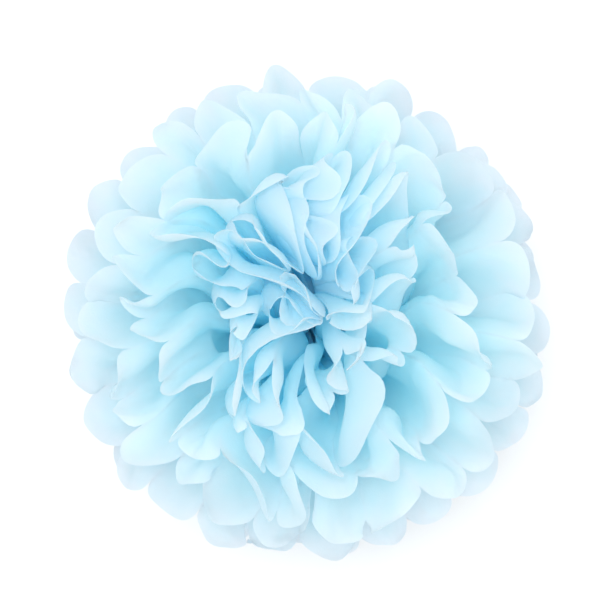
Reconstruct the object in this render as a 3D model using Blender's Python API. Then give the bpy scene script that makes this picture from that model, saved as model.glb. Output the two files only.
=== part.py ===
"""A tissue paper pom pom, about 250 mm across, resting on its lowest petals.

Ten sheets of tissue are stacked, folded into pleats and tied round the middle with wire. Both ends
of the folded strip are trimmed round, so each pleat ends in a petal. Each sheet then opens from the
tie as two pleated fans that make a full turn, and the sheets are pulled apart, five up and five down.

The tie runs round the sheets in the YZ plane, the fans open to +X and -X, and the sheets lean to
+Z and -Z. Each object is one sheet, or the wire.
"""

import math

import bmesh
import bpy
import numpy as np
from mathutils import Matrix, Vector
from mathutils.geometry import interpolate_bezier

# The cut and folded sheet, in metres.
SHEET_REACH = 0.125  # from the tie to a petal's tip, half the length of a sheet
PLEAT_WIDTH = 0.030  # from crease to crease
PLEATS_PER_FAN = 13  # folded across a sheet, so each fan has this many petals
TRIM_DEPTH = 0.013  # from a petal's tip to the notch beside it
PAPER_THICKNESS = 0.0003  # of the solid that stands for a much thinner sheet

# The sheets where the tie bunches them.
SHEET_GAP = 0.0003
END_BUNCH_RADIUS = 0.0036  # half the width of the first and the last sheet of the round bundle
OPENING_LENGTH = 0.038  # from the bunch to where the pleats stand at their full height
FOLD_ROOM = 0.0030  # the least distance from the pole to a fold, where the folds crowd
SEAM_HALF_WIDTH = 0.0004  # between the two fans, from there to the petals' tips
STEEPEST_PLEAT = 3.6  # the height of a pleat over its width, at most
WAVE_HEIGHT = 0.93  # of a rounded pleat, as a share of the same pleat with flat sides

# The wire that ties them.
WIRE_DIAMETER = 0.0008
WIRE_CLEARANCE = 0.0003
TWIST_LENGTH = 0.009
TWIST_TURNS = 2
STRAND_GAP = 0.0001  # between the two twisted strands
LINK_LENGTH = 3 * WIRE_DIAMETER  # from the loop to the first turn of the twist
LINK_ANGLE = math.radians(30)  # where a strand leaves the round of the loop

# How each sheet was pulled out by hand, from the top one down. In degrees: how it leans above level
# at the tie and at the tips, how unevenly its creases lean, how far its petals curl, and how much
# steeper it stands in the middle of its two fans than between there and the seams. The fourth number
# is how unevenly its pleats are spread.
SHEETS = (
    (87, 74, 2.5, 0.12, 22, 5),
    (74, 50, 6.0, 0.30, 24, 5),
    (57, 33, 5.0, 0.28, 18, 4),
    (36, 20, 4.0, 0.26, 16, 1),
    (13, 9, 2.0, 0.06, 9, 0),
    (-4, -8, 2.0, 0.06, 10, 0),
    (-20, -20, 2.5, 0.15, 12, 0),
    (-37, -30, 2.5, 0.18, 14, 0),
    (-57, -38, 2.0, 0.14, 14, 0),
    (-88, -46, 1.5, 0.10, 12, 0),
)
STEEPEST_LEAN = math.radians(86)  # so that no petal crosses the pole
REST_DEPTH = 0.109  # from the tie down to the surface that presses the lowest petals flat
SPLAY = 0.6  # how far a pressed petal spreads, as a share of the depth that it is pressed
LEAN_WAVE = 1.3  # the unevenness of the leans, as a share of the fan's radius from high to high
LEAN_LAYER = 0.15  # how far it changes from one sheet to the next, as the same share
LEAN_SHARE = 0.9  # of the unevenness that neighbouring creases have in common
CREASE_SHARE = 0.45  # of the unevenness that each crease has to itself
SPREAD_WAVE = 0.6
SPREAD_LAYER = 0.1
SPREAD_SHARE = 1.4
TRIM_SPREAD = 0.0025
CURL_DEPTHS = (0.016, 0.030)  # from a petal's tip to the line it curls about
CURL_SLANT = 0.4  # that line's greatest angle to the tips
CURL_LENGTH = 0.026  # over which the curl comes on
CURL_ROOM = 0.3  # a pleat narrower than this share of the paper's width stays straight
IN_STEP = 0.3  # the share of the reach within which the pleats of all the sheets lie in step
TOP_SHIFT = 0.007  # how far the top of the pom pom leans to +Y
POM_HEIGHT = 0.115  # from the tie to the top
SWAY = 0.004  # how far all the sheets bend to and fro together
TOP_SWAY = 0.003  # how much farther at the top
SWAY_LENGTH = 0.140
HELD_RADIUS = 0.020  # round the tie, where nothing sways
RELEASED_RADIUS = 0.120  # and where all of it does
TOP_START = 0.03  # above the tie, where the top's own sway starts
TOP_FULL = 0.11  # and where it is at its full size

# Each seed picks one of the random forms.
LEAN_SEED = 40
SPREAD_SEED = 60
SWAY_SEED = 300

# Where the mesh has its points: rows along the fan, and shares of a pleat's width across it.
LOBE_BASE_SHARE = 0.78  # the row below the notches, as a share of the reach
ACROSS = (0.0, 0.2, 0.5, 0.8, 1.0)
STEEP_LEAN = math.radians(60)  # a sheet that leans more at the tie has one more row
STRAND_STEPS = 8
LOOP_STEPS = 20
LINK_STEPS = 5

SIDES = (1, -1)  # the fan that opens to +X, and the one that opens to -X
WIRE_RADIUS = WIRE_DIAMETER / 2
STRAND_OFFSET = (WIRE_DIAMETER + STRAND_GAP) / 2
SLIT_HALF_WIDTH = STRAND_OFFSET + WIRE_RADIUS + WIRE_CLEARANCE + PAPER_THICKNESS / 2
SHEET_PITCH = PAPER_THICKNESS + SHEET_GAP
STACK_HALF_HEIGHT = (len(SHEETS) * SHEET_PITCH - SHEET_GAP) / 2
BUNDLE_RADIUS = math.hypot(END_BUNCH_RADIUS, STACK_HALF_HEIGHT)
LOOP_RADIUS = BUNDLE_RADIUS + WIRE_CLEARANCE + WIRE_RADIUS


def clear_scene():
    for obj in list(bpy.data.objects):
        bpy.data.objects.remove(obj, do_unlink=True)


def make_material(name, colour, roughness, metallic=0.0):
    material = bpy.data.materials.new(name)
    material.use_nodes = True
    shader = material.node_tree.nodes["Principled BSDF"]
    shader.inputs["Base Color"].default_value = (*colour, 1.0)
    shader.inputs["Roughness"].default_value = roughness
    shader.inputs["Metallic"].default_value = metallic
    return material


def mix(a, b, share):
    return a + (b - a) * share


def smooth(value):
    value = min(1.0, max(0.0, value))
    return value * value * (3 - 2 * value)


def soft_noise(places, wavelength, seed, waves=14):
    """A smooth random value from about -1 to 1 at each place, the same at every build."""
    draw = np.random.default_rng(seed)
    directions = draw.normal(size=(waves, places.shape[-1]))
    directions /= np.linalg.norm(directions, axis=1, keepdims=True)
    turns = 2 * np.pi / (wavelength * draw.uniform(0.7, 1.5, size=(waves, 1)))
    phases = draw.uniform(0, 2 * np.pi, size=waves)
    return np.cos(places @ (directions * turns).T + phases).sum(axis=-1) / math.sqrt(waves / 2) * 0.7


def pleat_height(room):
    """How high a pleat stands when its creases are drawn to this distance. The paper keeps its width."""
    if room >= PLEAT_WIDTH:
        return 0.0
    folded = WAVE_HEIGHT * math.sqrt(PLEAT_WIDTH**2 - room**2)
    return min(folded, STEEPEST_PLEAT * room)


def swayed(place):
    """A place after all the sheets together have bent to and fro, most at the top. Nothing crosses,
    because each axis is pushed by an amount that the other two alone set."""
    for axis in range(3):
        others = np.array([place[other] for other in range(3) if other != axis])
        away = np.linalg.norm(others) - HELD_RADIUS
        size = SWAY * smooth(away / (RELEASED_RADIUS - HELD_RADIUS))
        if axis < 2:
            size *= 1 + TOP_SWAY / SWAY * smooth((others[1] - TOP_START) / (TOP_FULL - TOP_START))
        place[axis] += size * soft_noise(others, SWAY_LENGTH, SWAY_SEED + axis)
    return place


class Sheet:
    """One sheet of tissue: its place in the stack, its lean, and how its petals were pulled."""

    def __init__(self, number, root, tip, lean_spread, width_spread, curl, side_lift):
        self.name = f"tissue_sheet_{number:02d}"
        self.root_lean = math.radians(root)
        self.tip_lean = math.radians(tip)
        self.height = STACK_HALF_HEIGHT - PAPER_THICKNESS / 2 - (number - 1) * SHEET_PITCH
        outer_face = abs(self.height) + PAPER_THICKNESS / 2
        self.bunch_radius = math.sqrt(BUNDLE_RADIUS**2 - outer_face**2)
        self.length = SHEET_REACH - self.bunch_radius
        tip_radius = self.bunch_radius + self.length * math.cos((self.root_lean + self.tip_lean) / 2)
        self.creases = {}
        self.leans = {}
        self.trims = {}
        self.curls = {}
        for side in SIDES:
            pull = np.random.default_rng([number, 1 if side > 0 else 2])
            self.creases[side] = self.spread_creases(number, side, width_spread, tip_radius)
            turns = np.pi * (self.creases[side] - 0.5)
            layer = np.full(PLEATS_PER_FAN + 1, LEAN_LAYER * number)
            around = np.stack([side * np.cos(turns), np.sin(turns), layer], axis=-1)
            uneven = LEAN_SHARE * soft_noise(around, LEAN_WAVE, LEAN_SEED)
            uneven = uneven + pull.normal(0, CREASE_SHARE, PLEATS_PER_FAN + 1)
            self.leans[side] = np.radians(lean_spread * uneven + side_lift * np.cos(2 * turns))
            self.trims[side] = pull.uniform(-TRIM_SPREAD, TRIM_SPREAD, PLEATS_PER_FAN)
            self.curls[side] = list(
                zip(
                    np.radians(pull.normal(0, curl, PLEATS_PER_FAN)),
                    pull.uniform(*CURL_DEPTHS, PLEATS_PER_FAN),
                    pull.uniform(-CURL_SLANT, CURL_SLANT, PLEATS_PER_FAN),
                )
            )

    def spread_creases(self, number, side, width_spread, tip_radius):
        """Each crease's place along the fan, from 0 to 1. No pleat opens wider than the paper."""
        middles = np.pi * ((np.arange(PLEATS_PER_FAN) + 0.5) / PLEATS_PER_FAN - 0.5)
        layer = np.full(PLEATS_PER_FAN, SPREAD_LAYER * number)
        around = np.stack([side * np.cos(middles), np.sin(middles), layer], axis=-1)
        uneven = soft_noise(around, SPREAD_WAVE, SPREAD_SEED)
        widths = np.exp(SPREAD_SHARE * width_spread * uneven)
        widest = max(0.99 * PLEAT_WIDTH / (math.pi * tip_radius), 1 / PLEATS_PER_FAN)
        for _ in range(6):
            widths = np.minimum(widths / widths.sum(), widest)
        return np.concatenate([[0], np.cumsum(widths)]) / widths.sum()

    def meridian(self, share, extra_lean):
        """Distance from the pole, height and lean at a share of the fan's length. The fan is an arc."""
        root, tip = self.root_lean, self.tip_lean + 1e-6
        turn = (tip - root) * share
        chord = self.length * share * math.sin(turn / 2) / (turn / 2) if turn else 0.0
        lean = root + turn / 2 + extra_lean * share
        lean = max(-STEEPEST_LEAN, min(STEEPEST_LEAN, lean))
        return (
            self.bunch_radius + chord * math.cos(lean),
            self.height + chord * math.sin(lean),
            root + turn + extra_lean * share,
        )

    def trimmed(self, side, pleat, across):
        """The share of the fan's length at which the round cut ends a pleat."""
        round_cut = 1 - math.sqrt(max(0.0, 1 - (2 * across - 1) ** 2))
        tip = self.trims[side][pleat] * math.sin(math.pi * across)
        return 1 + (tip - TRIM_DEPTH * round_cut) / self.length

    def crease_angle(self, side, crease, share):
        """Where a crease stands round the pole. A fan is half a turn, and spreads less evenly outwards."""
        uneven = smooth((share - IN_STEP) / (1 - IN_STEP))
        place = mix(crease / PLEATS_PER_FAN, self.creases[side][crease], uneven)
        return math.pi * (place - 0.5)

    def crease_rise(self, side, crease, share, radius):
        """How far a crease stands above the middle of the fan. The pleats on both sides share it."""
        angles = [
            self.crease_angle(side, neighbour, share)
            for neighbour in (crease - 1, crease, crease + 1)
            if 0 <= neighbour <= PLEATS_PER_FAN
        ]
        room = radius * (angles[-1] - angles[0]) / (len(angles) - 1)
        rise = pleat_height(room) / 2 * min(1.0, share * self.length / OPENING_LENGTH)
        return -rise if crease % 2 else rise

    def folded(self, side, pleat, across, share):
        """A point of the pleated sheet: across the pleat from crease to crease, and out by share."""
        extra_lean = mix(self.leans[side][pleat], self.leans[side][pleat + 1], across)
        radius, height, lean = self.meridian(share, extra_lean)
        first_angle = self.crease_angle(side, pleat, share)
        last_angle = self.crease_angle(side, pleat + 1, share)
        first_rise = self.crease_rise(side, pleat, share, radius)
        last_rise = self.crease_rise(side, pleat + 1, share, radius)
        rise = mix(first_rise, last_rise, (1 - math.cos(math.pi * across)) / 2)
        inward = math.sin(lean)
        if rise * inward > 0:
            rise = math.copysign(min(abs(rise), max(0.0, radius - FOLD_ROOM) / abs(inward)), rise)
        radius -= rise * inward
        height += rise * math.cos(lean)
        angle = mix(first_angle, last_angle, across)
        apart = mix(SLIT_HALF_WIDTH, SEAM_HALF_WIDTH, min(1.0, share * self.length / OPENING_LENGTH))
        return Vector((side * (radius * math.cos(angle) + apart), radius * math.sin(angle), height))

    def curled(self, side, pleat, across, share):
        """The same point where the petal's tip bends about a slanting line. Its creases stay put."""
        place = self.folded(side, pleat, across, share)
        angle, depth, slant = self.curls[side][pleat]
        line = self.trimmed(side, pleat, 0.5) - depth / self.length
        distance = (share - line) * self.length * math.cos(slant)
        distance -= (across - 0.5) * PLEAT_WIDTH * math.sin(slant)
        radius = self.meridian(line, 0.0)[0]
        room = radius * (
            self.crease_angle(side, pleat + 1, line) - self.crease_angle(side, pleat, line)
        )
        bend = angle * smooth(distance / CURL_LENGTH) * smooth(1.4 * math.sin(math.pi * across))
        bend *= smooth((room / PLEAT_WIDTH - CURL_ROOM) / (1 - CURL_ROOM))
        if not bend:
            return place
        over = self.folded(side, pleat, 0.6, line) - self.folded(side, pleat, 0.4, line)
        out = self.folded(side, pleat, 0.5, line + 0.02) - self.folded(side, pleat, 0.5, line - 0.02)
        axis = over.normalized() * math.cos(slant) + out.normalized() * math.sin(slant)
        centre = self.folded(side, pleat, 0.5, line)
        return centre + Matrix.Rotation(bend, 3, axis) @ (place - centre)

    def point(self, side, pleat, across, share):
        """The same point where the whole pom pom sways and rests on its lowest petals."""
        place = self.curled(side, pleat, across, share)
        place.y += TOP_SHIFT * min(1.2, max(0.0, place.z / POM_HEIGHT)) ** 2
        place = swayed(place)
        pressed = max(0.0, -REST_DEPTH - place.z)
        spread = 1 + SPLAY * pressed / max(place.xy.length, 1e-6)
        return Vector((place.x * spread, place.y * spread, place.z + pressed))

    def build(self, material):
        """The sheet as one surface, thickened. Its bunch is a flat face between the two fans."""
        mesh = bmesh.new()
        opened = OPENING_LENGTH / self.length
        rows = [0.0, opened]
        if abs(self.root_lean) > STEEP_LEAN:
            rows.append((opened + LOBE_BASE_SHARE) / 2)

        def vertex(side, pleat, across, share):
            return mesh.verts.new(self.point(side, pleat, across, share))

        rings = {}
        for side in SIDES:
            last = PLEATS_PER_FAN - 1
            places = [(pleat, 0.0) for pleat in range(PLEATS_PER_FAN)] + [(last, 1.0)]
            folds = [[vertex(side, pleat, across, row) for pleat, across in places] for row in rows]
            marks = [
                (pleat, across)
                for pleat in range(PLEATS_PER_FAN)
                for across in ACROSS[: None if pleat == last else -1]
            ]
            base = [vertex(side, p, a, LOBE_BASE_SHARE) for p, a in marks]
            edge = [vertex(side, p, a, self.trimmed(side, p, a)) for p, a in marks]
            faces = []
            for pleat in range(PLEATS_PER_FAN):
                # The diagonals start from the mountain folds, in every sheet alike.
                for inner, outer in zip(folds, folds[1:]):
                    near, far = outer[pleat], outer[pleat + 1]
                    if pleat % 2:
                        faces.append((inner[pleat], near, inner[pleat + 1]))
                        faces.append((near, far, inner[pleat + 1]))
                    else:
                        faces.append((inner[pleat], near, far))
                        faces.append((inner[pleat], far, inner[pleat + 1]))
                start = pleat * (len(ACROSS) - 1)
                row = base[start : start + len(ACROSS)]
                rim = edge[start : start + len(ACROSS)]
                middle = len(ACROSS) // 2
                for i in range(middle):
                    faces.append((near, row[i], row[i + 1]))
                    faces.append((row[i], rim[i + 1], row[i + 1]))
                    faces.append((row[i], rim[i], rim[i + 1]))
                for i in range(middle, len(ACROSS) - 1):
                    faces.append((far, row[i], row[i + 1]))
                    faces.append((row[i], rim[i], row[i + 1]))
                    faces.append((rim[i], rim[i + 1], row[i + 1]))
                faces.append((near, row[middle], far))
            for corners in faces:
                mesh.faces.new(corners if side > 0 else corners[::-1])
            rings[side] = folds[0]
        mesh.faces.new(rings[1] + rings[-1][::-1])
        bmesh.ops.recalc_face_normals(mesh, faces=mesh.faces)

        data = bpy.data.meshes.new(self.name)
        mesh.to_mesh(data)
        mesh.free()
        data.materials.append(material)
        data.shade_smooth()
        sheet = bpy.data.objects.new(self.name, data)
        bpy.context.scene.collection.objects.link(sheet)
        solid = sheet.modifiers.new("paper", "SOLIDIFY")
        solid.thickness = PAPER_THICKNESS
        solid.offset = 0.0
        return sheet


def strand(turn_offset, outwards):
    """One of the two strands of the twist, as points from the loop outwards or back."""
    steps = TWIST_TURNS * STRAND_STEPS
    start = LOOP_RADIUS + LINK_LENGTH
    points = []
    for i in range(steps + 1):
        turn = 2 * math.pi * i / STRAND_STEPS + turn_offset
        points.append(
            Vector(
                (
                    STRAND_OFFSET * math.sin(turn),
                    -start - TWIST_LENGTH * i / steps,
                    STRAND_OFFSET * math.cos(turn),
                )
            )
        )
    return points if outwards else points[::-1]


def build_tie(material):
    """The wire: from the twist's end, once round the bundle, and back along the twist."""
    steps = range(LOOP_STEPS + 1)
    swept = 2 * math.pi - 2 * LINK_ANGLE
    angles = [LINK_ANGLE + swept * i / LOOP_STEPS for i in steps]
    loop = [Vector((0, -LOOP_RADIUS * math.cos(a), LOOP_RADIUS * math.sin(a))) for a in angles]
    going, coming = strand(0.0, False), strand(math.pi, True)
    along = Vector((0, LINK_LENGTH / 2, 0))
    leaving = Vector((0, math.sin(LINK_ANGLE), math.cos(LINK_ANGLE))) * LINK_LENGTH / 2
    arriving = Vector((0, -leaving.y, leaving.z))
    link_in = interpolate_bezier(going[-1], going[-1] + along, loop[0] - leaving, loop[0], LINK_STEPS)
    link_out = interpolate_bezier(
        loop[-1], loop[-1] + arriving, coming[0] + along, coming[0], LINK_STEPS
    )
    path = going + link_in[1:-1] + loop + link_out[1:-1] + coming

    curve = bpy.data.curves.new("tie_wire", "CURVE")
    curve.dimensions = "3D"
    curve.bevel_depth = WIRE_RADIUS
    curve.bevel_resolution = 1
    curve.use_fill_caps = True
    spline = curve.splines.new("POLY")
    spline.points.add(len(path) - 1)
    for point, place in zip(spline.points, path):
        point.co = (*place, 1.0)
    curve.materials.append(material)
    tie = bpy.data.objects.new("tie_wire", curve)
    bpy.context.scene.collection.objects.link(tie)
    return tie


def resting_place(objects):
    """The shift that puts the middle of the objects' width and depth over the origin, and their foot
    on the floor."""
    graph = bpy.context.evaluated_depsgraph_get()
    corners = []
    for obj in objects:
        evaluated = obj.evaluated_get(graph)
        corners += [vert.co.copy() for vert in evaluated.to_mesh().vertices]
        evaluated.to_mesh_clear()
    low = [min(corner[axis] for corner in corners) for axis in range(3)]
    high = [max(corner[axis] for corner in corners) for axis in range(3)]
    return Vector((-(low[0] + high[0]) / 2, -(low[1] + high[1]) / 2, -low[2]))


def main():
    clear_scene()
    tissue = make_material("tissue", (0.60, 0.86, 0.97), 0.9)
    wire = make_material("tie_wire", (0.62, 0.63, 0.65), 0.35, 1.0)
    pieces = [Sheet(i + 1, *pull).build(tissue) for i, pull in enumerate(SHEETS)]
    pieces.append(build_tie(wire))
    place = resting_place(pieces)
    for piece in pieces:
        piece.location = place


main()
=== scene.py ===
"""A tissue paper pom pom, put together in the order of the real one: the pleated sheets, the wire
that ties them, and then the table, the light and the camera."""

import math
import bpy
import numpy as np
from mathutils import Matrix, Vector


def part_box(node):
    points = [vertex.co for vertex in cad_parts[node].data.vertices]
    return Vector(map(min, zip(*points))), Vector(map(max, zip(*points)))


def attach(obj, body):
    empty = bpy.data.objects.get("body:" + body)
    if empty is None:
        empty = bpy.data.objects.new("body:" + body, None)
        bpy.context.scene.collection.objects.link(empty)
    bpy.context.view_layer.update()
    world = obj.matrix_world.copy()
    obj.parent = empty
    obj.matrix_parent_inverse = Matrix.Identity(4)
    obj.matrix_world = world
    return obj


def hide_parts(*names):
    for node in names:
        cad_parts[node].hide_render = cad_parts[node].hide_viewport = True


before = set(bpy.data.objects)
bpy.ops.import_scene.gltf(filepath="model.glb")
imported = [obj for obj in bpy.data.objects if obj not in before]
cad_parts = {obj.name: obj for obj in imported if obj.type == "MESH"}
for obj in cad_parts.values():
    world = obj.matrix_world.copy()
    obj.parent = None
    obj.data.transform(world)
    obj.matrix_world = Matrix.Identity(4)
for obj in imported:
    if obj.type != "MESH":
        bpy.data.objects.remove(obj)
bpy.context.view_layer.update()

# The tissue sheets. Ten sheets of thin dyed tissue are stacked and folded into pleats as one strip,
# trimmed round at both ends, tied round the middle and pulled apart one by one, five to each side.
# Each one is a single sheet that runs through the tie and opens as two pleated fans.
SHEET_REACH = 0.125  # from the middle of the tie to a petal's tip
PLEAT_WIDTH = 0.030
PLEATS_PER_FAN = 13
TRIM_DEPTH = 0.013  # how much shorter a petal is at its creases than in its middle
TISSUE_THICKNESS = 0.00008  # real tissue is thinner still, but a shell needs some thickness
SHEET_ROOM = 0.0003  # what a sheet takes of the stack's height inside the tie
SHEET_GAP = 0.0003
SHEET_PITCH = SHEET_ROOM + SHEET_GAP
END_BUNCH_RADIUS = 0.0036  # of the top and bottom sheets inside the tie
OPENING_LENGTH = 0.038  # over which the pleats open out of the bunch
FOLD_ROOM = 0.0015  # how close to the pole a fold may come
# Half the gap between a sheet's two fans, at the tie and where the pleats are open.
SLIT_HALF_WIDTH = 0.00125
SEAM_HALF_WIDTH = 0.0002
REST_DEPTH = 0.109  # how far below the tie the lowest petals are pressed flat
SPLAY = 0.6  # how far they spread for each length that they are pressed
# In degrees: how a sheet leans above level at the tie and at its tips, how unevenly its creases
# lean, how far its petals curl, and how much steeper it stands in the middle of its two fans. The
# fourth number is how unevenly its pleats are spread.
SHEETS = (
    (85, 72, 9.0, 0.40, 30, 14),
    (74, 50, 8.0, 0.45, 28, 9),
    (58, 36, 6.0, 0.40, 22, 4),
    (37, 22, 4.0, 0.28, 16, 1),
    (13, 9, 2.5, 0.06, 9, 0),
    (-4, -8, 2.5, 0.06, 10, 0),
    (-20, -20, 3.0, 0.15, 12, 0),
    (-37, -30, 3.0, 0.18, 14, 0),
    (-57, -38, 3.0, 0.15, 14, 0),
    (-88, -46, 3.0, 0.15, 12, 0),
)
# Petals beside the pole press on each other. Past the nearly steepest slope, more lean steepens them
# less and less, and none passes the steepest.
STEEPEST_LEAN = math.radians(90)
NEARLY_STEEPEST = math.radians(79)
# How far round the pole neighbouring creases lean alike, how much of that changes from sheet to
# sheet, how strong it is, and how strong each crease's own lean is beside it.
LEAN_WAVE = 1.3
LEAN_LAYER = 0.15
LEAN_SHARE = 0.9
CREASE_SHARE = 0.45
# The same three for the widths of neighbouring pleats.
SPREAD_WAVE = 0.6
SPREAD_LAYER = 0.1
SPREAD_SHARE = 1.4
IN_STEP = 0.3  # up to this share of the way out, the pleats are still spread evenly
LEAST_OPENNESS = 0.03  # the least room that a pleat gets, as a share of its width
EVEN_RISE = 0.2  # the share of a pleat's rise that is even from crease to crease
# The scissors leave the petals' ends uneven, and each petal curls about a slanting line across it.
TRIM_SPREAD = 0.0025
CURL_DEPTHS = (0.016, 0.030)  # from the tip down to where the curl starts
CURL_SLANT = 0.4
CURL_LENGTH = 0.026
CURL_ROOM = 0.3  # a petal with less room than this share of its width stays straight
# About one petal in five has its very tip turned up or down, at a share of the trim's depth.
TURNED_TIPS = 0.22
TURNED_ANGLES = (0.4, 0.9)
TURNED_SHARES = (0.6, 0.95)
TURNED_SOFTNESS = 0.010
# How far the top leans to one side, and the height above the tie at which it does.
TOP_SHIFT = 0.007
POM_HEIGHT = 0.115
# How far all the sheets bend to and fro together, how much farther at the top, over what length, and
# the seed that sets where.
SWAYS = ((0.004, 0.003, 0.140, 300), (0.0035, 0.004, 0.065, 320))
# The tie holds them within a radius, and they are free a release length beyond it. The top is what
# stands higher than the top start, and fully so a top length above that.
HELD_RADIUS = 0.020
RELEASE_LENGTH = 0.1
TOP_START = 0.03
TOP_LENGTH = 0.08
# The creases, dents and ripples that handling leaves. They begin at the loose start, as a share of
# the way out, and are at full depth a loose share beyond it.
CREASE_DEPTH = 0.0014
CREASE_LENGTH = 0.018
DENT_DEPTH = 0.0020
DENT_LENGTH = 0.040
RIPPLE_DEPTH = 0.0012
RIPPLE_LENGTH = 0.034
LOOSE_START = 0.12
LOOSE_SHARE = 0.5
LEAN_SEED = 40
SPREAD_SEED = 60
CREASE_SEED = 100
DENT_SEED = 200
RIPPLE_SEED = 310
# Steps across a pleat, and from the tie to a petal's tip. Those across crowd towards the creases,
# where the round trim is steepest. A pleat's curve is added up from small parts.
STEPS_ACROSS = 18
STEPS_ALONG = 50
CROWDING = 0.85
CURVE_PARTS = 24
HEIGHT_PARTS = 16
UV_LENGTH = 0.1  # the length of flat paper that one unit of its map stands for
SHARP_EDGE = math.radians(60)
HALF_STACK = (len(SHEETS) * SHEET_PITCH - SHEET_GAP) / 2
BUNDLE_RADIUS = math.hypot(END_BUNCH_RADIUS, HALF_STACK)
WIRE_RADIUS = 0.0004
WIRE_CLEARANCE = 0.0003
LOOP_RADIUS = BUNDLE_RADIUS + WIRE_CLEARANCE + WIRE_RADIUS

wire_low, wire_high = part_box("tie_wire")
TIE_CENTRE = np.array([
    (wire_low[0] + wire_high[0]) / 2,
    wire_high[1] - LOOP_RADIUS - WIRE_RADIUS,
    wire_high[2] - LOOP_RADIUS - WIRE_RADIUS,
])


def soft_noise(places, wavelength, seed, waves=14):
    """A smooth random value, mostly between -1 and 1, at each place, the same at every run."""
    draw = np.random.default_rng(seed)
    size = places.shape[-1]
    directions = draw.normal(size=(waves, size))
    directions /= np.linalg.norm(directions, axis=1, keepdims=True)
    turns = 2 * np.pi / (wavelength * draw.uniform(0.7, 1.5, size=(waves, 1)))
    phases = draw.uniform(0, 2 * np.pi, size=waves)
    return np.cos(places @ (directions * turns).T + phases).sum(axis=-1) / math.sqrt(waves / 2) * 0.7


def creased_noise(places, wavelength, seed, waves=7):
    """A random value that folds along straight lines, as handled tissue does."""
    draw = np.random.default_rng(seed)
    total = np.zeros(places.shape[:-1])
    for _ in range(waves):
        angle = draw.uniform(0, math.pi)
        along = places @ np.array([math.cos(angle), math.sin(angle)])
        along = along / (wavelength * draw.uniform(0.6, 1.6)) + draw.uniform(0, 1)
        fold = np.abs((along % 1.0) * 2 - 1) * 2 - 1
        fade = soft_noise(places, wavelength * 2.5, draw.integers(1 << 30), 6)
        total += fold * np.clip(fade, 0, 1)
    return total / math.sqrt(waves)


def smooth(value):
    """0 below 0, 1 above 1, and an easy rise between."""
    value = np.clip(value, 0, 1)
    return value * value * (3 - 2 * value)


def turned(vectors, axis, angle):
    """Vectors turned about a unit axis, each by its own angle."""
    cos, sin = np.cos(angle)[..., None], np.sin(angle)[..., None]
    along = (vectors @ axis)[..., None] * axis
    return vectors * cos + np.cross(axis, vectors) * sin + along * (1 - cos)


def bend_petal(places, flat, petal, angle, below_tip, slant, softness, free):
    """Turns one petal's tip about a slanting line below it, as far as each column is free to."""
    first = petal * STEPS_ACROSS
    block = (slice(None), slice(first, first + STEPS_ACROSS + 1))
    middle = first + STEPS_ACROSS // 2
    reach = np.abs(flat[:, middle, 0])
    row = int(np.argmin(np.abs(reach - (reach[-1] - below_tip))))
    over = places[row, middle + 1] - places[row, middle - 1]
    out = places[min(row + 1, len(places) - 1), middle] - places[row - 1, middle]
    over, out = over / np.linalg.norm(over), out / np.linalg.norm(out)
    axis = over * math.cos(slant) + out * math.sin(slant)
    axis = axis / np.linalg.norm(axis)
    centre = places[row, middle].copy()
    distance = (np.abs(flat[block][..., 0]) - (reach[-1] - below_tip)) * math.cos(slant)
    distance = distance - (flat[block] - flat[row, middle])[..., 1] * math.sin(slant)
    bend = angle * smooth(distance / softness) * free
    places[block] = centre + turned(places[block] - centre, axis, bend)


def pleat_spread(number, side, width_spread, tip_radius):
    """Each crease's place along the fan, from 0 to 1. No pleat opens wider than the paper."""
    middles = np.pi * ((np.arange(PLEATS_PER_FAN) + 0.5) / PLEATS_PER_FAN - 0.5)
    layer = np.full(PLEATS_PER_FAN, SPREAD_LAYER * number)
    around = np.stack([side * np.cos(middles), np.sin(middles), layer], axis=-1)
    widths = np.exp(SPREAD_SHARE * width_spread * soft_noise(around, SPREAD_WAVE, SPREAD_SEED))
    widest = max(0.99 * PLEAT_WIDTH / (math.pi * tip_radius), 1 / PLEATS_PER_FAN)
    for _ in range(6):
        widths = np.minimum(widths / widths.sum(), widest)
    return np.concatenate([[0], np.cumsum(widths)]) / widths.sum()


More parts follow.
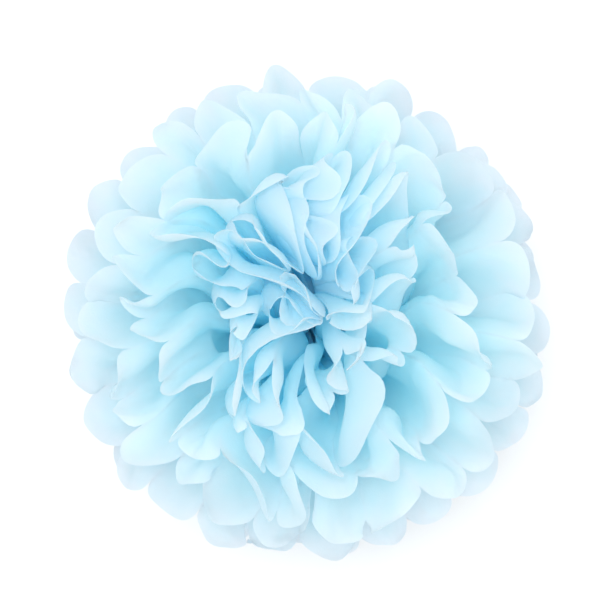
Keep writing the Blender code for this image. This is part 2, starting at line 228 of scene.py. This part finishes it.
def fan_grid(number, side):
    """The places of one fan's points, by row from the tie outwards and by column across the pleats."""
    root_lean, tip_lean, lean_spread, width_spread, curl, side_lift = SHEETS[number - 1]
    root_lean, tip_lean = math.radians(root_lean), math.radians(tip_lean)
    stack_place = HALF_STACK - SHEET_ROOM / 2 - (number - 1) * SHEET_PITCH
    bunch_radius = math.sqrt(BUNDLE_RADIUS**2 - (abs(stack_place) + SHEET_ROOM / 2) ** 2)
    length = SHEET_REACH - bunch_radius
    tip_radius = bunch_radius + length * math.cos((root_lean + tip_lean) / 2)
    pull = np.random.default_rng([number, 1 if side > 0 else 2])
    creases = pleat_spread(number, side, width_spread, tip_radius)
    even = np.arange(PLEATS_PER_FAN + 1) / PLEATS_PER_FAN
    crease_turns = np.pi * (creases - 0.5)
    layer = np.full(PLEATS_PER_FAN + 1, LEAN_LAYER * number)
    around = np.stack([side * np.cos(crease_turns), np.sin(crease_turns), layer], axis=-1)
    uneven = LEAN_SHARE * soft_noise(around, LEAN_WAVE, LEAN_SEED)
    uneven = uneven + pull.normal(0, CREASE_SHARE, PLEATS_PER_FAN + 1)
    crease_leans = np.radians(lean_spread * uneven + side_lift * np.cos(2 * crease_turns))
    trims = pull.uniform(-TRIM_SPREAD, TRIM_SPREAD, PLEATS_PER_FAN)
    curls = list(zip(
        np.radians(pull.normal(0, curl, PLEATS_PER_FAN)),
        pull.uniform(*CURL_DEPTHS, PLEATS_PER_FAN),
        pull.uniform(-CURL_SLANT, CURL_SLANT, PLEATS_PER_FAN),
    ))

    # Columns run across the pleats, and each one ends where the round trim cuts it.
    columns = np.arange(PLEATS_PER_FAN * STEPS_ACROSS + 1)
    pleat = np.minimum(columns // STEPS_ACROSS, PLEATS_PER_FAN - 1)
    step = (columns - pleat * STEPS_ACROSS) / STEPS_ACROSS
    across = (1 - CROWDING) * step + CROWDING * (1 - np.cos(np.pi * step)) / 2
    cut = 1 - np.sqrt(np.maximum(0, 1 - (2 * across - 1) ** 2))
    trimmed = 1 + (trims[pleat] * np.sin(np.pi * across) - TRIM_DEPTH * cut) / length
    outward = np.linspace(0, 1, STEPS_ALONG + 1)[:, None] + 0 * trimmed[None, :]
    share = outward * trimmed[None, :]

    # Each column bends evenly from the sheet's lean at the tie to its lean at the tips.
    extra = (crease_leans[pleat] * (1 - across) + crease_leans[pleat + 1] * across)[None, :]
    turn = (tip_lean - root_lean + 1e-6) * share
    chord = length * share * np.sinc(turn / 2 / np.pi)
    slope = root_lean + turn / 2 + extra * share
    steep = np.maximum(slope - NEARLY_STEEPEST, 0) / (STEEPEST_LEAN - NEARLY_STEEPEST)
    slope = np.minimum(slope, NEARLY_STEEPEST) + (STEEPEST_LEAN - NEARLY_STEEPEST) * (
        1 - np.exp(-steep)
    )
    radius = bunch_radius + chord * np.cos(slope)
    height = stack_place + chord * np.sin(slope)
    lean = root_lean + turn + extra * share

    def crease_angle(index):
        """A crease's turn about the pole: evenly spread at the tie, and unevenly at the tips."""
        unevenness = smooth((share - IN_STEP) / (1 - IN_STEP))
        return np.pi * (even[index] + (creases[index] - even[index]) * unevenness - 0.5)

    first, last = crease_angle(pleat), crease_angle(pleat + 1)

    def swing_of(room):
        """How far a pleat's paper swings to and fro to keep its width in the room that it has."""
        openness = np.clip(room / PLEAT_WIDTH, LEAST_OPENNESS, 1)
        return 2 * np.sqrt(1 - openness) * (1 + 0.2 * (1 - openness))

    def fold_height(index):
        """How far a crease stands above or below the fan's middle, from the room on its two sides."""
        low, high = np.maximum(index - 1, 0), np.minimum(index + 1, PLEATS_PER_FAN)
        swing = swing_of(radius * (crease_angle(high) - crease_angle(low)) / (high - low))
        parts = (np.arange(HEIGHT_PARTS) + 0.5) / HEIGHT_PARTS
        rise = np.sin(swing[..., None] * np.sin(np.pi * parts)).mean(axis=-1)
        return rise * PLEAT_WIDTH / 2 * np.where(index % 2, -1, 1)

    # Across a pleat, the paper goes forward round the pole and up or down from crease to crease.
    swing = swing_of(radius * (last - first))
    parts = (np.arange(CURVE_PARTS) + 0.5) / CURVE_PARTS
    inside = np.clip((across[:, None] - parts[None, :] + 0.5 / CURVE_PARTS) * CURVE_PARTS, 0, 1)
    bend = swing[..., None] * np.sin(np.pi * parts)
    forward = (np.cos(bend) * inside).sum(axis=-1) / np.cos(bend).sum(axis=-1)
    rising = np.maximum(np.sin(bend).sum(axis=-1), 1e-3)
    upward = np.where(rising > 1e-2, (np.sin(bend) * inside).sum(axis=-1) / rising, across[None, :])
    upward = (1 - EVEN_RISE) * upward + EVEN_RISE * across[None, :]
    # The pleats open out of the flat bunch inside the tie, and none reaches past the pole.
    fade = np.minimum(1, share * length / OPENING_LENGTH)
    fade = fade * (2 - fade)
    rise = (fold_height(pleat) * (1 - upward) + fold_height(pleat + 1) * upward) * fade
    inward = np.sin(lean)
    room_in = np.maximum(radius - FOLD_ROOM, 0) / np.maximum(np.abs(inward), 1e-3)
    rise = np.where(rise * inward > 0, np.sign(rise) * np.minimum(np.abs(rise), room_in), rise)
    angle = first + (last - first) * (across[None, :] * (1 - fade) + forward * fade)
    radius = radius - rise * inward
    height = height + rise * np.cos(lean)
    apart = SLIT_HALF_WIDTH + (SEAM_HALF_WIDTH - SLIT_HALF_WIDTH) * np.minimum(
        1, share * length / OPENING_LENGTH
    )
    places = np.stack(
        [side * (radius * np.cos(angle) + apart), radius * np.sin(angle), height], axis=-1
    )
    flat = np.stack(
        [side * (bunch_radius + share * length), (pleat + across)[None, :] * PLEAT_WIDTH + 0 * share],
        axis=-1,
    )
    # A curl leaves a petal's two creases where they are, because its neighbours share them.
    free = smooth(1.4 * np.sin(np.pi * np.linspace(0, 1, STEPS_ACROSS + 1)))
    for petal, (angle, depth, slant) in enumerate(curls):
        middle = petal * STEPS_ACROSS + STEPS_ACROSS // 2
        row = int(np.argmin(np.abs(share[:, middle] * length - (share[-1, middle] * length - depth))))
        room = (radius * (last - first))[row, middle] / PLEAT_WIDTH
        angle = angle * smooth((room - CURL_ROOM) / (1 - CURL_ROOM))
        bend_petal(places, flat, petal, angle, depth, slant, CURL_LENGTH, free)
    for petal in range(PLEATS_PER_FAN):
        if pull.random() < TURNED_TIPS:
            slant = pull.uniform(-CURL_SLANT, CURL_SLANT)
            depth = TRIM_DEPTH - PLEAT_WIDTH / 2 * abs(math.sin(slant))
            angle = math.copysign(pull.uniform(*TURNED_ANGLES), pull.uniform(-1, 1))
            depth = depth * pull.uniform(*TURNED_SHARES)
            bend_petal(places, flat, petal, angle, depth, slant, TURNED_SOFTNESS, 1.0)
    return places, flat, outward


def face_directions(grid):
    """The unit direction that the paper faces at each point."""
    along = np.gradient(grid, axis=0)
    over = np.gradient(grid, axis=1)
    normal = np.cross(over, along)
    return normal / np.maximum(np.linalg.norm(normal, axis=-1, keepdims=True), 1e-9)


def swayed(places):
    """Places after all the sheets together have bent to and fro, most at the top. Nothing crosses,
    because each axis is pushed by an amount that the other two alone set."""
    places = places.copy()
    for size, top_size, length, seed in SWAYS:
        for axis in range(3):
            others = places[..., [other for other in range(3) if other != axis]]
            away = np.linalg.norm(others, axis=-1) - HELD_RADIUS
            reach = size * smooth(away / RELEASE_LENGTH)
            if axis < 2:
                above = smooth((others[..., 1] - TOP_START) / TOP_LENGTH)
                reach = reach * (1 + top_size / size * above)
            places[..., axis] += reach * soft_noise(others, length, seed + axis)
    return places


def tissue_sheet(number):
    """One whole sheet as one grid, from the tips of one fan through the tie to the other's."""
    minus, plus = fan_grid(number, -1), fan_grid(number, 1)
    grid, flat, outward = (np.concatenate([a[::-1], b]) for a, b in zip(minus, plus))
    loose = smooth((outward - LOOSE_START) / LOOSE_SHARE)
    dent = CREASE_DEPTH * creased_noise(flat, CREASE_LENGTH, CREASE_SEED + number)
    dent = dent + DENT_DEPTH * soft_noise(flat, DENT_LENGTH, DENT_SEED + number)
    grid = grid + face_directions(grid) * (dent * loose)[..., None]
    grid[..., 1] += TOP_SHIFT * np.clip(grid[..., 2] / POM_HEIGHT, 0, 1.2) ** 2
    grid = swayed(grid)
    ripple = [
        RIPPLE_DEPTH * soft_noise(grid, RIPPLE_LENGTH, RIPPLE_SEED + axis) for axis in range(3)
    ]
    grid = grid + np.stack(ripple, axis=-1) * loose[..., None]
    pressed = np.maximum(0, -REST_DEPTH - grid[..., 2])
    reach = np.linalg.norm(grid[..., :2], axis=-1, keepdims=True)
    grid[..., :2] *= 1 + SPLAY * pressed[..., None] / np.maximum(reach, 1e-6)
    grid[..., 2] += pressed
    return grid + TIE_CENTRE, flat, outward


def sheet_object(name, grid, flat, outward, material):
    """The sheet as a thin closed shell. Its trimmed rim keeps a sharp edge."""
    rows, columns = grid.shape[:2]
    index = np.arange(rows * columns).reshape(rows, columns)
    quads = np.stack([index[:-1, :-1], index[:-1, 1:], index[1:, 1:], index[1:, :-1]], axis=-1)
    mesh = bpy.data.meshes.new(name)
    mesh.from_pydata(grid.reshape(-1, 3).tolist(), [], quads.reshape(-1, 4).tolist())
    uv = mesh.uv_layers.new(name="flat_sheet")
    loops = np.empty(len(mesh.loops), dtype=np.int32)
    mesh.loops.foreach_get("vertex_index", loops)
    uv.data.foreach_set("uv", (flat.reshape(-1, 2) / UV_LENGTH)[loops].ravel())
    mesh.attributes.new("outward", "FLOAT", "POINT").data.foreach_set("value", outward.ravel())
    mesh.materials.append(material)
    mesh.shade_smooth()
    sheet = bpy.data.objects.new(name, mesh)
    bpy.context.scene.collection.objects.link(sheet)
    solid = sheet.modifiers.new("tissue", "SOLIDIFY")
    solid.thickness = TISSUE_THICKNESS
    solid.offset = 0.0
    both_faces = bpy.data.meshes.new_from_object(
        sheet.evaluated_get(bpy.context.evaluated_depsgraph_get())
    )
    both_faces.set_sharp_from_angle(angle=SHARP_EDGE)
    sheet.modifiers.clear()
    sheet.data = both_faces
    bpy.data.meshes.remove(mesh)
    return sheet


def blue_tissue():
    """Tissue dyed in the mass, a little unevenly, with a fine fibre. Light goes through it. Painted
    light makes it palest at the petals' tips, and painted shade makes it deeper below the top of
    the pom pom."""
    material = bpy.data.materials.new("blue_tissue")
    material.use_nodes = True
    nodes, links = material.node_tree.nodes, material.node_tree.links
    paper = nodes["Principled BSDF"]
    paper.inputs["Roughness"].default_value = 0.85
    paper.inputs["Specular IOR Level"].default_value = 0.15
    paper.inputs["Sheen Weight"].default_value = 0.15
    paper.inputs["Sheen Roughness"].default_value = 0.5
    paper.inputs["Sheen Tint"].default_value = (0.5, 0.86, 1.0, 1)
    coords = nodes.new("ShaderNodeTexCoord")
    cloud = nodes.new("ShaderNodeTexNoise")
    cloud.inputs["Scale"].default_value = 9.0
    cloud.inputs["Detail"].default_value = 6.0
    uneven = nodes.new("ShaderNodeMapRange")
    uneven.inputs["To Min"].default_value = -0.10
    uneven.inputs["To Max"].default_value = 0.10
    outward = nodes.new("ShaderNodeAttribute")
    outward.attribute_name = "outward"
    shade = nodes.new("ShaderNodeMath")
    # Painted light: the colour pales towards the petals' tips, standing in for light shining through
    # the thin tissue there. The noise that shifts it is the dye's own unevenness.
    dye_and_painted_tip_light = nodes.new("ShaderNodeValToRGB")
    dye_and_painted_tip_light.color_ramp.elements[0].position = 0.45
    dye_and_painted_tip_light.color_ramp.elements[0].color = (0.71, 0.97, 0.995, 1)
    dye_and_painted_tip_light.color_ramp.elements[1].position = 1.0
    dye_and_painted_tip_light.color_ramp.elements[1].color = (0.915, 0.97, 0.99, 1)
    dye_and_painted_tip_light.color_ramp.elements.new(0.82).color = (0.84, 0.97, 0.992, 1)
    # Painted shade: from 190 mm above the table down to 130 mm, the colour is multiplied a shade
    # deeper, so the lower part of the pom pom reads as less lit than the top.
    apart = nodes.new("ShaderNodeSeparateXYZ")
    painted_shade_below_top = nodes.new("ShaderNodeMapRange")
    painted_shade_below_top.inputs["From Min"].default_value = 0.19
    painted_shade_below_top.inputs["From Max"].default_value = 0.13
    dye_with_painted_shade = nodes.new("ShaderNodeMix")
    dye_with_painted_shade.data_type = "RGBA"
    dye_with_painted_shade.blend_type = "MULTIPLY"
    dye_with_painted_shade.inputs["B"].default_value = (0.985, 0.958, 0.966, 1)
    links.new(coords.outputs["Object"], apart.inputs["Vector"])
    links.new(apart.outputs["Z"], painted_shade_below_top.inputs["Value"])
    links.new(painted_shade_below_top.outputs["Result"], dye_with_painted_shade.inputs["Factor"])
    links.new(dye_and_painted_tip_light.outputs["Color"], dye_with_painted_shade.inputs["A"])
    links.new(cloud.outputs["Fac"], uneven.inputs["Value"])
    links.new(outward.outputs["Fac"], shade.inputs[0])
    links.new(uneven.outputs["Result"], shade.inputs[1])
    links.new(shade.outputs["Value"], dye_and_painted_tip_light.inputs["Fac"])
    fibre = nodes.new("ShaderNodeTexNoise")
    fibre.inputs["Scale"].default_value = 90.0
    fibre.inputs["Detail"].default_value = 8.0
    bump = nodes.new("ShaderNodeBump")
    bump.inputs["Strength"].default_value = 0.25
    bump.inputs["Distance"].default_value = 0.0004
    through = nodes.new("ShaderNodeBsdfTranslucent")
    blend = nodes.new("ShaderNodeMixShader")
    blend.inputs["Fac"].default_value = 0.70
    links.new(coords.outputs["UV"], cloud.inputs["Vector"])
    links.new(coords.outputs["UV"], fibre.inputs["Vector"])
    links.new(dye_with_painted_shade.outputs["Result"], paper.inputs["Base Color"])
    links.new(dye_with_painted_shade.outputs["Result"], through.inputs["Color"])
    links.new(fibre.outputs["Fac"], bump.inputs["Height"])
    links.new(bump.outputs["Normal"], paper.inputs["Normal"])
    links.new(bump.outputs["Normal"], through.inputs["Normal"])
    links.new(paper.outputs["BSDF"], blend.inputs[1])
    links.new(through.outputs["BSDF"], blend.inputs[2])
    links.new(blend.outputs["Shader"], nodes["Material Output"].inputs["Surface"])
    return material


tissue = blue_tissue()
for number in range(1, len(SHEETS) + 1):
    node = f"tissue_sheet_{number:02d}"
    piece = sheet_object(f"pleated_sheet_{number:02d}", *tissue_sheet(number), tissue)
    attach(piece, "root")
    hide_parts(node)

# The tie is a thin drawn steel wire. It goes once round the folded sheets, deep inside the petals, and
# its two ends are twisted together by hand at the seam, which holds the bunch tight.
TWIST_LENGTH = 0.009
TWIST_TURNS = 2
STRAND_GAP = 0.0001
STRAND_OFFSET = WIRE_RADIUS + STRAND_GAP / 2
LINK_LENGTH = 0.0024  # from the loop to the first turn of the twist
LINK_ANGLE = math.radians(30)
TWIST_STEPS = 48
LINK_STEPS = 12
LOOP_STEPS = 96
WIRE_SIDES = 16


def wire_path():
    """The wire's line, from one end of the twist round the bunch and back to the other end."""
    def strand(turn_offset):
        steps = np.linspace(0, 1, TWIST_STEPS)[:, None]
        turns = 2 * np.pi * TWIST_TURNS * steps + turn_offset
        out = -LOOP_RADIUS - LINK_LENGTH - TWIST_LENGTH * steps
        return np.hstack([STRAND_OFFSET * np.sin(turns), out, STRAND_OFFSET * np.cos(turns)])

    def link(start, leaving, arriving, end):
        steps = np.linspace(0, 1, LINK_STEPS)[1:-1, None]
        first, second = start + leaving, end - arriving
        return (
            start * (1 - steps) ** 3 + 3 * first * steps * (1 - steps) ** 2
            + 3 * second * steps**2 * (1 - steps) + end * steps**3
        )

    angles = np.linspace(LINK_ANGLE, 2 * np.pi - LINK_ANGLE, LOOP_STEPS)[:, None]
    loop = LOOP_RADIUS * np.hstack([0 * angles, -np.cos(angles), np.sin(angles)])
    going, coming = strand(0.0)[::-1], strand(math.pi)
    inwards = np.array([0, LINK_LENGTH / 2, 0])
    leaving = np.array([0, math.sin(LINK_ANGLE), math.cos(LINK_ANGLE)]) * LINK_LENGTH / 2
    arriving = leaving * (1, -1, 1)
    return np.vstack([
        going, link(going[-1], inwards, leaving, loop[0]), loop,
        link(loop[-1], arriving, -inwards, coming[0]), coming,
    ]) + TIE_CENTRE


def drawn_steel():
    """Plain steel wire, dull in patches, with fine scratches from drawing."""
    material = bpy.data.materials.new("drawn_steel")
    material.use_nodes = True
    nodes, links = material.node_tree.nodes, material.node_tree.links
    metal = nodes["Principled BSDF"]
    metal.inputs["Metallic"].default_value = 1.0
    place = nodes.new("ShaderNodeTexCoord")
    tarnish = nodes.new("ShaderNodeTexNoise")
    tarnish.inputs["Scale"].default_value = 700.0
    tarnish.inputs["Detail"].default_value = 4.0
    grey = nodes.new("ShaderNodeValToRGB")
    grey.color_ramp.elements[0].position = 0.35
    grey.color_ramp.elements[0].color = (0.42, 0.42, 0.43, 1)
    grey.color_ramp.elements[1].position = 0.65
    grey.color_ramp.elements[1].color = (0.66, 0.67, 0.69, 1)
    dullness = nodes.new("ShaderNodeMapRange")
    dullness.inputs["To Min"].default_value = 0.28
    dullness.inputs["To Max"].default_value = 0.48
    scratches = nodes.new("ShaderNodeTexNoise")
    scratches.inputs["Scale"].default_value = 6000.0
    scored = nodes.new("ShaderNodeBump")
    scored.inputs["Strength"].default_value = 0.3
    scored.inputs["Distance"].default_value = 0.00002
    links.new(place.outputs["Object"], tarnish.inputs["Vector"])
    links.new(place.outputs["Object"], scratches.inputs["Vector"])
    links.new(tarnish.outputs["Fac"], grey.inputs["Fac"])
    links.new(tarnish.outputs["Fac"], dullness.inputs["Value"])
    links.new(grey.outputs["Color"], metal.inputs["Base Color"])
    links.new(dullness.outputs["Result"], metal.inputs["Roughness"])
    links.new(scratches.outputs["Fac"], scored.inputs["Height"])
    links.new(scored.outputs["Normal"], metal.inputs["Normal"])
    return material


def swept_wire(name, path, material):
    """A round wire drawn along a path, with closed ends."""
    line = bpy.data.meshes.new(name)
    line.from_pydata(path.tolist(), [(i, i + 1) for i in range(len(path) - 1)], [])
    tie = bpy.data.objects.new(name, line)
    bpy.context.scene.collection.objects.link(tie)
    sweep = bpy.data.node_groups.new("drawn_wire", "GeometryNodeTree")
    sweep.interface.new_socket("Line", in_out="INPUT", socket_type="NodeSocketGeometry")
    thickness = sweep.interface.new_socket("Wire radius", in_out="INPUT", socket_type="NodeSocketFloat")
    sides = sweep.interface.new_socket("Sides", in_out="INPUT", socket_type="NodeSocketInt")
    sweep.interface.new_socket("Wire", in_out="OUTPUT", socket_type="NodeSocketGeometry")
    given = sweep.nodes.new("NodeGroupInput")
    made = sweep.nodes.new("NodeGroupOutput")
    to_curve = sweep.nodes.new("GeometryNodeMeshToCurve")
    section = sweep.nodes.new("GeometryNodeCurvePrimitiveCircle")
    drawn = sweep.nodes.new("GeometryNodeCurveToMesh")
    drawn.inputs["Fill Caps"].default_value = True
    single = sweep.nodes.new("GeometryNodeRealizeInstances")
    coat = sweep.nodes.new("GeometryNodeSetMaterial")
    coat.inputs["Material"].default_value = material
    sweep.links.new(given.outputs["Line"], to_curve.inputs["Mesh"])
    sweep.links.new(given.outputs["Wire radius"], section.inputs["Radius"])
    sweep.links.new(given.outputs["Sides"], section.inputs["Resolution"])
    sweep.links.new(to_curve.outputs["Curve"], drawn.inputs["Curve"])
    sweep.links.new(section.outputs["Curve"], drawn.inputs["Profile Curve"])
    sweep.links.new(drawn.outputs["Mesh"], single.inputs["Geometry"])
    sweep.links.new(single.outputs["Geometry"], coat.inputs["Geometry"])
    sweep.links.new(coat.outputs["Geometry"], made.inputs["Wire"])
    swept = tie.modifiers.new("drawn_wire", "NODES")
    swept.node_group = sweep
    swept[thickness.identifier] = WIRE_RADIUS
    swept[sides.identifier] = WIRE_SIDES
    wire_mesh = bpy.data.meshes.new_from_object(
        tie.evaluated_get(bpy.context.evaluated_depsgraph_get())
    )
    wire_mesh.shade_smooth()
    wire_mesh.set_sharp_from_angle(angle=SHARP_EDGE)
    tie.modifiers.clear()
    tie.data = wire_mesh
    bpy.data.meshes.remove(line)
    return tie


tie = swept_wire("twisted_tie_wire", wire_path(), drawn_steel())
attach(tie, "root")
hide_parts("tie_wire")

# The table is a plain white sheet that the pom pom rests on. It takes the soft shadow, and it is wide
# enough to fill the picture.
TABLE_HALF = 3
table_corners = [(x * TABLE_HALF, y * TABLE_HALF, 0) for x, y in ((-1, -1), (1, -1), (1, 1), (-1, 1))]
table_mesh = bpy.data.meshes.new("table")
table_mesh.from_pydata(table_corners, [], [(0, 1, 2, 3)])
table = bpy.data.objects.new("table", table_mesh)
bpy.context.scene.collection.objects.link(table)
white = bpy.data.materials.new("white_table")
white.use_nodes = True
matt = white.node_tree.nodes["Principled BSDF"]
matt.inputs["Base Color"].default_value = (0.97, 0.97, 0.97, 1)
matt.inputs["Roughness"].default_value = 0.9
matt.inputs["Specular IOR Level"].default_value = 0.0
table_mesh.materials.append(white)

# A white room lights the pom pom from all sides, and one wide lamp far above it gives form. Light
# goes through many layers of tissue before it dies out, so its paths are long.
bpy.context.scene.cycles.diffuse_bounces = 32
bpy.context.scene.cycles.transmission_bounces = 48
bpy.context.scene.cycles.max_bounces = 64
world = bpy.data.worlds.new("studio")
world.use_nodes = True
nodes, links = world.node_tree.nodes, world.node_tree.links
sky = nodes["Background"]
sky.inputs["Color"].default_value = (1, 1, 1, 1)
ray = nodes.new("ShaderNodeLightPath")
seen = nodes.new("ShaderNodeMath")
seen.operation = "MAXIMUM"
strength = nodes.new("ShaderNodeMapRange")
strength.inputs["To Min"].default_value = 0.92
strength.inputs["To Max"].default_value = 1.0
links.new(ray.outputs["Is Camera Ray"], seen.inputs[0])
links.new(ray.outputs["Is Glossy Ray"], seen.inputs[1])
links.new(seen.outputs["Value"], strength.inputs["Value"])
links.new(strength.outputs["Result"], sky.inputs["Strength"])
bpy.context.scene.world = world

LAMP_PLACE = Vector((-0.35, 0.5, 4.0))
LAMP_TARGET = Vector((0, 0, 0.1))
disk = bpy.data.lights.new("key_lamp", "AREA")
disk.shape = "DISK"
disk.size = 1.6
disk.energy = 55.0
lamp = bpy.data.objects.new("key_lamp", disk)
lamp.location = LAMP_PLACE
lamp.rotation_euler = (LAMP_TARGET - LAMP_PLACE).to_track_quat("-Z", "Y").to_euler()
bpy.context.scene.collection.objects.link(lamp)

# The camera looks straight down the pole, from as far as a lens of 85 mm needs.
FRAME_WIDTH = 0.316  # what the picture spans at the height of the tie
PICTURE_SHIFT = 0.0052  # how far above the tie the middle of the picture lies
FOCAL_LENGTH = 85.0
SENSOR_WIDTH = 36.0
lens = bpy.data.cameras.new("camera")
lens.lens = FOCAL_LENGTH
lens.sensor_width = SENSOR_WIDTH
camera = bpy.data.objects.new("camera", lens)
camera.location = (
    TIE_CENTRE[0],
    TIE_CENTRE[1] + PICTURE_SHIFT,
    TIE_CENTRE[2] + FRAME_WIDTH * FOCAL_LENGTH / SENSOR_WIDTH,
)
bpy.context.scene.collection.objects.link(camera)
bpy.context.scene.camera = camera
bpy.context.scene.view_settings.view_transform = "Standard"
